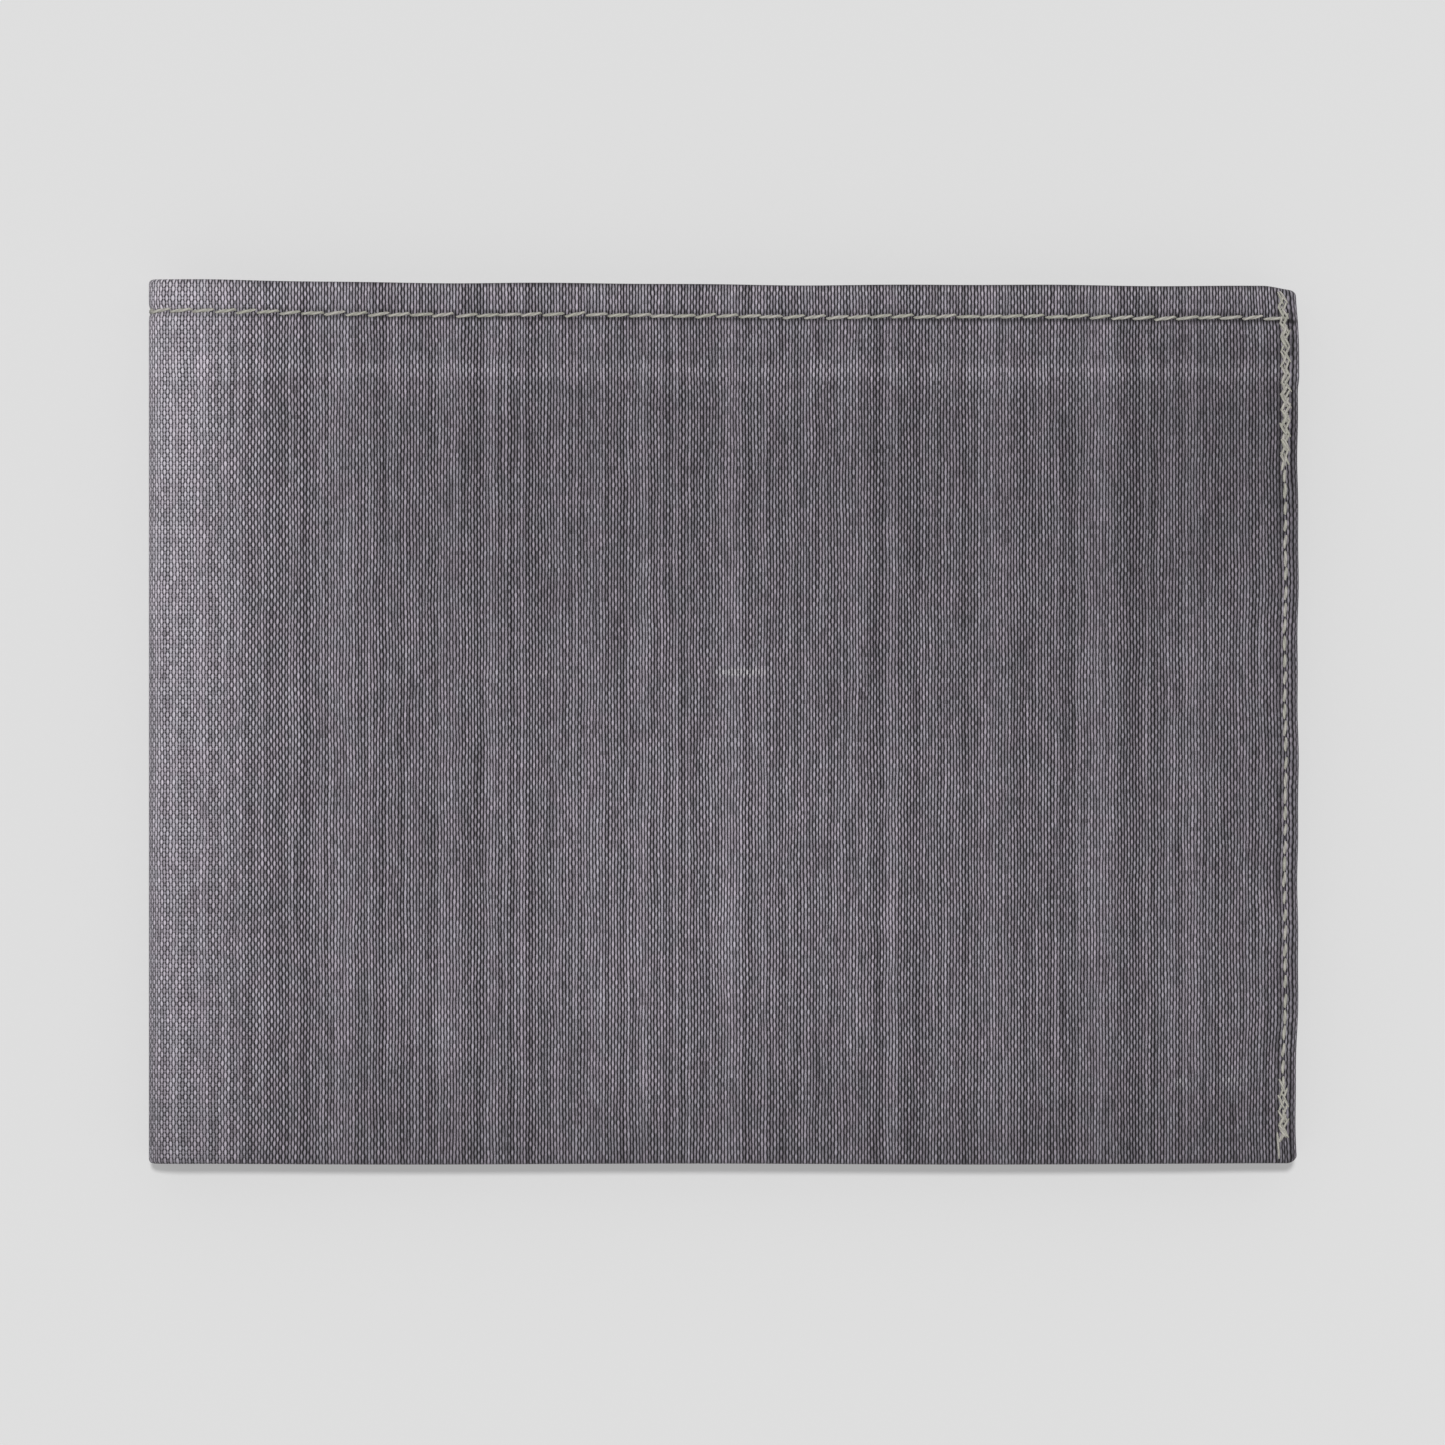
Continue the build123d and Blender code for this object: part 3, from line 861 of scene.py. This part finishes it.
def make_panel(half, panel):
    """One card pocket's face, hemmed at its mouth and turned under at its foot."""
    name, mouth = panel[0], panel[2]
    x = spread((POCKET_LEFT - 1.6, POCKET_LEFT + 8.0, 0.5), (POCKET_LEFT + 8.0,
               POCKET_RIGHT - 9.0, 1.3), (POCKET_RIGHT - 9.0, POCKET_RIGHT + 0.4, 0.6))[:, None]
    top = mouth_line(panel, x) - POCKET_TURN
    foot = POCKET_FOOT + 0.45 + 0 * x
    radius, hem, fine = POCKET_TURN, 7.2, 9.0
    turn = np.linspace(math.pi, 0.0, 6)[None, :]
    hem_rows = np.linspace(hem, 0.6, 6)[None, :]
    rows = spread((0.0, fine, 0.35), (fine, 100.0, 1.4))
    share = (rows / rows.max())[None, 1:]
    near = np.minimum(rows, fine)[None, 1:]
    y_face = (top - near - (share - near / rows.max()) / (1 - fine / rows.max())
              * (top - fine - foot))
    back = np.linspace(0.0, math.pi, 6)[None, 1:]
    y = np.hstack([top - hem_rows, top + radius * np.sin(turn), y_face,
                   foot - radius * np.sin(back), foot + np.array([[1.0, 3.0]]) + 0 * x])
    under = np.hstack([2 * radius + 0 * hem_rows, radius * (1 - np.cos(turn)), 0 * share,
                       radius * (1 - np.cos(back)), 2 * radius + np.zeros((1, 2))])
    h = panel_point(panel, x, y) - under
    rows_v = np.hstack([2 * top - y[:, :6] + radius, top + radius * turn, y_face,
                        foot - radius * back, foot - 3 * radius - np.array([[1.0, 3.0]])
                        + 0 * x])
    uv = np.stack([x + 0 * y, rows_v], axis=-1)
    piece = new_cloth(f"{name}_cloth", half, (x, y, h), uv, sizes()["lining_cloth"],
                      "pocket_cloth")
    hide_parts(f"{name}_panel_{half}", f"{name}_edges_{half}")
    declare((POCKET_RIGHT - POCKET_LEFT + 2.0, mouth - POCKET_FOOT + hem + 3.0))
    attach(piece, half)


def binding_heights(y):
    """Outer and inner legs of the binding: it steps down past the lower pocket's mouth."""
    step = smooth((y - LOWER_MOUTH + 1.0) / 3.5)
    return LINING_H + 0.27 + 0 * y, 3.34 - 0.62 * step


def make_binding(half):
    """The folded tape along the pockets' spine side: two legs joined by a half ellipse."""
    y = spread((POCKET_FOOT + 0.1, UPPER_MOUTH + 0.9, 0.9))[None, :]
    low, high = binding_heights(y)
    middle, reach = (low + high) / 2, (high - low) / 2
    bend_x = BINDING_X + 1.1
    legs = np.linspace(BINDING_LEG, 0.0, 9)[:, None]
    turn = np.linspace(-math.pi / 2, math.pi / 2, 14)[1:-1, None]
    wave = 0.10 * np.sin(y / 3.7)
    x = np.concatenate([bend_x + legs * 0.96 + 0 * y, bend_x - 0.95 * np.cos(turn) + 0 * y,
                        bend_x + legs[::-1] + wave * legs[::-1] / BINDING_LEG])
    h = np.concatenate([low + 0 * legs, middle + reach * np.sin(turn), high + 0 * legs])
    row = x - POCKET_ROW_X - 0.9
    dip = 0.09 * bell(row / 0.4) * (np.arange(len(x)) > len(x) // 2)[:, None]
    length = np.concatenate([[0.0], np.cumsum(np.hypot(np.diff(x[:, 0]), np.diff(h[:, 0])))])
    uv = np.stack([length[:, None] + 200.0 + 0 * y, y + 0 * x], axis=-1)
    piece = new_cloth("binding_tape", half, (x, y, h - dip), uv,
                      sizes()["lining_cloth"] * 0.9, "binding_tape")
    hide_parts(f"pocket_binding_{half}")
    declare((length[-1], UPPER_MOUTH - POCKET_FOOT + 0.8))
    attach(piece, half)


def make_pockets(half):
    """Both card pockets of a half and the tape that binds them."""
    for panel in PANELS:
        make_panel(half, panel)
    make_binding(half)


# ---------------------------------------------------------------- stitch rows


def face_frame(half, line, s):
    """Directions on the cover's face at length s: along the width, and outwards."""
    nx, nh = normals(line, s)
    flip = 1.0 if half == "back" else -1.0
    zero = np.zeros_like(s)
    forward = np.stack([nh, zero, -nx * flip], axis=-1)
    outward = np.stack([-nx, zero, -nh * flip], axis=-1)
    return forward, outward


def make_hem_stitches(half):
    """The hem's running stitches, slightly slanted, following the mouth and the fold."""
    size = sizes()
    line = cover_line()
    pitch, width = size["stitch_pitch"], size["thread_width"]
    rng = seeded(len(half))
    s = np.arange(0.5, (s_at(line, SIDE_ROW_X - 1.2)) / pitch) * pitch
    s = s + rng.normal(0, 0.05, len(s)) * (s > 6)
    x, h = along(line, s)
    mouth = mouth_edge(half, x)
    y = mouth - HEM_ROW_DROP + rng.normal(0, 0.035, len(s))
    raised = relief(half, line, s, x, y, mouth)
    forward, outward = face_frame(half, line, s)
    x, h = along(line, s, -raised - size["cover_cloth"] / 2 - THREAD_SINK)
    centre = in_half(half, x, y, h)
    slant = np.radians(7.0 + rng.normal(0, 2.5, len(s)))[:, None]
    up_y = np.array([[0.0, 1.0, 0.0]])
    forward = forward * np.cos(slant) + up_y * np.sin(slant)
    length = pitch * 1.10 + rng.normal(0, 0.05, len(s))
    piece = stitches(f"hem_thread_{half}", centre, forward, outward, length, width * 0.82,
                     MATERIALS["thread"], dip=0.18)
    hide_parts(f"hem_stitches_{half}", "hem_stitches_spine")
    bend_with_fold(piece, half)


def make_side_stitches(half):
    """The free edge's row: crossing locked stitches at both ends, plain ones between, and a
    thread end that runs out at the foot."""
    size = sizes()
    line = cover_line()
    width = size["thread_width"]
    rng = seeded(20 + len(half))
    plain = np.arange(FOOT_Y + 7.6, MOUTH_Y - 17.5, SIDE_PITCH)
    rows = [(plain, -0.12 + 0.0 * plain, 5.0 + 0.0 * plain, SIDE_PITCH * 0.98 + 0 * plain)]
    for low, high in ((FOOT_Y + 2.6, FOOT_Y + 7.4), (MOUTH_Y - 18.0, MOUTH_Y - 1.6)):
        for offset, angle, start in ((-0.20, 25.0, 0.0), (0.36, -26.0, 0.55),
                                     (0.40, 24.0, 1.05), (-0.22, -25.0, 0.5)):
            y = np.arange(low + start, high, LOCK_PITCH)
            rows.append((y, offset + 0 * y, angle + 0 * y, LOCK_PITCH * 1.12 + 0 * y))
    rows.append((np.array([FOOT_Y + 1.7]), np.array([-0.62]), np.array([-4.0]),
                 np.array([2.7])))
    y, offset, angle, length = (np.concatenate(part) for part in zip(*rows))
    y = y + rng.normal(0, 0.07, len(y))
    offset = offset + rng.normal(0, 0.04, len(y)) * (np.abs(offset) > 0.19)
    angle = np.radians(angle + rng.normal(0, 3.5, len(y)))[:, None]
    inset = free_edge(y)
    s = s_at(line, SIDE_ROW_X - 0.25 + offset)
    x, h = along(line, s)
    raised = relief(half, line, s, x, y, mouth_edge(half, x))
    x, h = along(line, s, -raised - size["cover_cloth"] / 2 - THREAD_SINK
                 - 0.10 * (np.abs(offset) > 0.12))
    centre = in_half(half, x - inset, y, h)
    sideways, outward = face_frame(half, line, s)
    forward = np.array([[0.0, 1.0, 0.0]]) * np.cos(angle) + sideways * np.sin(angle)
    length = length + rng.normal(0, 0.08, len(y))
    piece = stitches(f"side_thread_{half}", centre, forward, outward, length,
                     width * np.where(np.abs(offset) > 0.19, 0.56, 0.82)[:, None, None, None],
                     MATERIALS["thread"], dip=0.20)
    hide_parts(f"side_stitches_{half}")
    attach(piece, half)


def inner_row(half, name, x, y, h, upright, nodes=()):
    """A row of stitches on the inner face, at heights h above the half's outer plane."""
    size = sizes()
    rng = seeded(40 + len(name))
    x, y, h = np.broadcast_arrays(x, y, h)
    centre = in_half(half, x, y, h + 0.06)
    along_row = np.array([0.0, 1.0, 0.0]) if upright else np.array([1.0, 0.0, 0.0])
    side = np.array([1.0, 0.0, 0.0]) if upright else np.array([0.0, 1.0, 0.0])
    angle = np.radians(4.0 + rng.normal(0, 2.0, len(x)))[:, None]
    forward = along_row[None] * np.cos(angle) + side[None] * np.sin(angle)
    inward = np.array([[0.0, 0.0, 1.0 if half == "back" else -1.0]]) + 0 * forward
    piece = stitches(name, centre, forward, inward, size["stitch_pitch"] * 0.88,
                     size["thread_width"] * 0.85, MATERIALS["thread"], dip=0.13)
    if nodes:
        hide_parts(*nodes)
    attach(piece, half)


def make_inner_stitches(half):
    """Rows on the inside: binding, pocket mouths, the free edge's band and the lining hem."""
    size = sizes()
    line = cover_line()
    pitch, cloth = size["stitch_pitch"], size["lining_cloth"]
    y = np.arange(POCKET_FOOT + 1.6, UPPER_MOUTH, pitch)
    _, high = binding_heights(y)
    inner_row(half, f"binding_thread_{half}", POCKET_ROW_X + 0.9, y, high + cloth * 0.45 - 0.09,
              True, (f"pocket_stitches_{half}",))
    for panel in PANELS:
        x = np.arange(POCKET_LEFT + 3.2, POCKET_RIGHT - 3.0, pitch)
        y = mouth_line(panel, x) - POCKET_ROW_DROP - POCKET_TURN
        h = panel_point(panel, x, y) + cloth / 2
        inner_row(half, f"{panel[0]}_thread_{half}", x, y, h, False)
    y = np.arange(FOOT_Y + 1.8, MOUTH_Y - 2.4, pitch)
    level = along(line, line["roll_end"] + 0.35)[1] + size["cover_cloth"] / 2
    inner_row(half, f"band_thread_{half}", line["roll"] - 0.35 - free_edge(y), y, level, True)
    s = np.arange(9.0, line["face_end"] - 4.5, pitch)
    x, _ = along(line, s)
    y = mouth_edge(half, x) - (MOUTH_Y - LINING_TOP) - LINING_ROW_DROP
    h = along(line, s, lining_depth(line, s, y, LINING_ROW_DROP) + cloth / 2)[1]
    inner_row(half, f"lining_thread_{half}", x, y, h, False)


# ---------------------------------------------------------------- stage


def make_stage():
    """A pale floor, a soft sun leaning towards the mouth, an even world and the camera above.

    Part of the floor's tone is its own wherever the camera or a reflection sees it, which
    keeps its shadow as faint as in a bright room.
    """
    scene = bpy.context.scene
    maker = Maker("pale_floor")
    tone = (*scene.wallet_colours.floor, 1.0)
    rays = [maker.node("ShaderNodeLightPath", None, None, output)
            for output in ("Is Camera Ray", "Is Glossy Ray", "Is Transmission Ray")]
    seen = maker.math("MAXIMUM", maker.math("MAXIMUM", rays[0], rays[1]), rays[2])
    own = maker.node("ShaderNodeEmission", None, {"Color": tone})
    lit = maker.node("ShaderNodeBsdfDiffuse", None, {"Color": tone})
    maker.node_output(maker.node("ShaderNodeMixShader", None,
                                 {0: seen * SELF_LIT, 1: lit, 2: own}))
    wide = FLOOR_HALF_WIDTH
    verts = np.array([[-wide, -wide, 0], [wide, -wide, 0], [wide, wide, 0], [-wide, wide, 0]])
    verts[:, 2] -= FLOOR_DROP
    floor = new_piece("floor", verts / MM, np.array([[0, 1, 2, 3]]), verts[:, :2],
                      maker.material)
    world = bpy.data.worlds.new("soft_room")
    world.use_nodes = True
    world.node_tree.nodes["Background"].inputs[0].default_value = grey(1.0)
    world.node_tree.nodes["Background"].inputs[1].default_value = 0.30
    scene.world = world
    light = bpy.data.lights.new("high_sun", "SUN")
    light.energy, light.angle = 2.22, math.radians(5.0)
    lamp = bpy.data.objects.new("high_sun", light)
    lamp.rotation_euler = (math.radians(-9.5), 0.0, 0.0)
    scene.collection.objects.link(lamp)
    camera = bpy.data.cameras.new("camera")
    camera.lens, camera.sensor_width = 300.0, 36.0
    camera.clip_end = 10.0
    place = bpy.data.objects.new("camera", camera)
    distance = VIEW_WIDTH * camera.lens / camera.sensor_width
    place.location = (0.0, -0.00015, THICKNESS * MM + distance)
    scene.collection.objects.link(place)
    scene.camera = place
    scene.view_settings.view_transform = "Standard"


# ---------------------------------------------------------------- operators


def each_half(*makers):
    """Run the makers in turn for the back half, then for the front."""
    for half in HALVES:
        for make in makers:
            make(half)
    return {"FINISHED"}


class WALLET_OT_covers(bpy.types.Operator):
    """Make both outer covers with their hems and turned edges"""
    bl_idname = "wallet.covers"
    bl_label = "Covers"

    def execute(self, context):
        return each_half(make_cover)


class WALLET_OT_linings(bpy.types.Operator):
    """Make the note compartment's linings"""
    bl_idname = "wallet.linings"
    bl_label = "Linings"

    def execute(self, context):
        return each_half(make_lining)


class WALLET_OT_pockets(bpy.types.Operator):
    """Make the card pockets and the tape that binds them"""
    bl_idname = "wallet.pockets"
    bl_label = "Card pockets"

    def execute(self, context):
        return each_half(make_pockets)


class WALLET_OT_stitches(bpy.types.Operator):
    """Sew every row of stitches"""
    bl_idname = "wallet.stitches"
    bl_label = "Stitches"

    def execute(self, context):
        return each_half(make_hem_stitches, make_side_stitches, make_inner_stitches)


class WALLET_OT_materials(bpy.types.Operator):
    """Make the cloth and thread finishes"""
    bl_idname = "wallet.materials"
    bl_label = "Finishes"

    def execute(self, context):
        make_materials()
        return {"FINISHED"}


class WALLET_OT_stage(bpy.types.Operator):
    """Make the floor, sun, world and camera"""
    bl_idname = "wallet.stage"
    bl_label = "Stage"

    def execute(self, context):
        make_stage()
        return {"FINISHED"}


class WALLET_PT_panel(bpy.types.Panel):
    """Lists the wallet's sizes, colours and makers"""
    bl_label = "Wallet"
    bl_space_type = "VIEW_3D"
    bl_region_type = "UI"
    bl_category = "Wallet"

    def draw(self, context):
        for group in (context.scene.wallet_sizes, context.scene.wallet_colours):
            for name in group.__annotations__:
                self.layout.prop(group, name)
        for operator in OPERATORS:
            self.layout.operator(operator.bl_idname)


OPERATORS = (WALLET_OT_materials, WALLET_OT_covers, WALLET_OT_linings, WALLET_OT_pockets,
             WALLET_OT_stitches, WALLET_OT_stage)
CLASSES = (WalletSizes, WalletColours, *OPERATORS, WALLET_PT_panel)


def register():
    for cls in CLASSES:
        bpy.utils.register_class(cls)
    bpy.types.Scene.wallet_sizes = PointerProperty(type=WalletSizes)
    bpy.types.Scene.wallet_colours = PointerProperty(type=WalletColours)


def unregister():
    del bpy.types.Scene.wallet_colours
    del bpy.types.Scene.wallet_sizes
    for cls in reversed(CLASSES):
        bpy.utils.unregister_class(cls)


def main():
    register()
    bpy.ops.wallet.materials()
    bpy.ops.wallet.covers()
    bpy.ops.wallet.linings()
    bpy.ops.wallet.pockets()
    bpy.ops.wallet.stitches()
    bpy.ops.wallet.stage()


if __name__ == "__main__":
    main()
